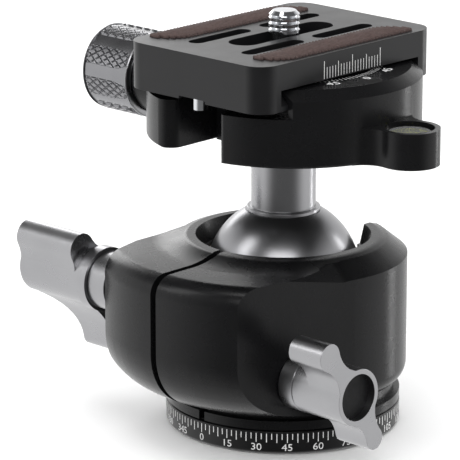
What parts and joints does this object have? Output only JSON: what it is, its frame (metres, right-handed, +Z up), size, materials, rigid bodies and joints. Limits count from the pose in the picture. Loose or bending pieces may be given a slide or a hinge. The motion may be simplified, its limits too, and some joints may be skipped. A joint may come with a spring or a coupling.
{
  "type": "tripod ball head",
  "caption": "Tripod ball head with a split clamping body, pan base, drop notch, two lock knobs, and a screw clamp with bullseye level that holds a dovetail plate.",
  "frame": {"origin": "centre of the base's flat bottom, at the mouth of the tripod thread, on the pan axis", "axes": "+Z up along the pan axis; +Y towards the notch that the stem drops into, -Y towards the lug and its slit; the clamp knob points to -X and the bullseye level to +X"},
  "size_m": [0.09, 0.0642, 0.0871],
  "materials": {
    "black_anodised": "black satin anodised",
    "titanium_anodised": "titanium-grey satin anodised",
    "gunmetal": "dark satin anodised",
    "steel": "bright",
    "plate_metal": "black satin anodised",
    "rubber_brown": "matt, ribbed",
    "slide_ring": "smooth bearing plastic",
    "seal_black": "matt",
    "level_body": "white",
    "level_fluid": "clear lime-yellow fluid",
    "level_glass": "clear"
  },
  "bodies": {
    "base": {"pan_base": "black_anodised", "thread_insert": "steel", "thrust_washer": "seal_black", "keeper_plate": "steel", "keeper_screws": "steel"},
    "housing": {"housing": "black_anodised", "upper_seat": "slide_ring", "main_collar": "titanium_anodised", "pan_collar": "titanium_anodised"},
    "cup": {"ball_cup": "slide_ring"},
    "ball": {"ball": "gunmetal"},
    "clamp": {"stem": "titanium_anodised", "clamp_body": "black_anodised", "level_cup": "level_body", "level_liquid": "level_fluid", "level_window": "level_glass", "guide_pins": "steel", "jaw_springs": "steel"},
    "jaw": {"movable_jaw": "black_anodised", "knob_washer": "steel"},
    "clamp_knob": {"clamp_knob": "titanium_anodised", "draw_screw": "steel"},
    "plate": {"plate": "plate_metal", "strip_left": "rubber_brown", "strip_right": "rubber_brown", "stop_pins": "steel"},
    "screw_carrier": {"screw_washer": "steel"},
    "camera_screw": {"camera_screw": "steel"},
    "main_knob": {"main_knob": "titanium_anodised", "main_stud": "steel", "main_plug": "seal_black"},
    "pan_knob": {"pan_knob": "titanium_anodised", "pan_stud": "steel", "pan_plug": "seal_black"}
  },
  "joints": [
    {"name": "pan", "type": "hinge", "parent": "base", "child": "housing", "pos_m": [0, 0, 0], "axis": [0, 0, 1], "continuous": true},
    {"name": "tilt_side", "type": "hinge", "parent": "housing", "child": "cup", "pos_m": [0, 0, 0.0313], "axis": [0, 1, 0], "range_deg": [-20, 20]},
    {"name": "tilt_drop", "type": "hinge", "parent": "cup", "child": "ball", "pos_m": [0, 0, 0.0313], "axis": [1, 0, 0], "range_deg": [-90, 20]},
    {"name": "turn", "type": "hinge", "parent": "ball", "child": "clamp", "pos_m": [0, 0, 0.0313], "axis": [0, 0, 1], "continuous": true},
    {"name": "jaw", "type": "slide", "parent": "clamp", "child": "jaw", "axis": [1, 0, 0], "range_m": [-0.0035, 0]},
    {"name": "clamp_screw", "type": "hinge", "parent": "jaw", "child": "clamp_knob", "pos_m": [-0.043, 0, 0.0676], "axis": [1, 0, 0], "range_deg": [-1576, 0]},
    {"name": "plate_slide", "type": "slide", "parent": "clamp", "child": "plate", "axis": [0, 1, 0], "range_m": [0, 0.0018]},
    {"name": "screw_slide", "type": "slide", "parent": "plate", "child": "screw_carrier", "axis": [0, 1, 0], "range_m": [-0.0114, 0.0097]},
    {"name": "screw_turn", "type": "hinge", "parent": "screw_carrier", "child": "camera_screw", "pos_m": [0, 0, 0.0823], "axis": [0, 0, 1], "continuous": true},
    {"name": "main_lock", "type": "hinge", "parent": "housing", "child": "main_knob", "pos_m": [-0.03, -0.0273, 0.0309], "axis": [1, 0, 0], "range_deg": [-120, 0]},
    {"name": "pan_lock", "type": "hinge", "parent": "housing", "child": "pan_knob", "pos_m": [0.03, -0.0186, 0.0174], "axis": [1, 0, 0], "range_deg": [0, 180]}
  ],
  "couplings": [
    {"joint": "clamp_screw", "follows": "jaw", "rad_per_m": 7854}
  ]
}
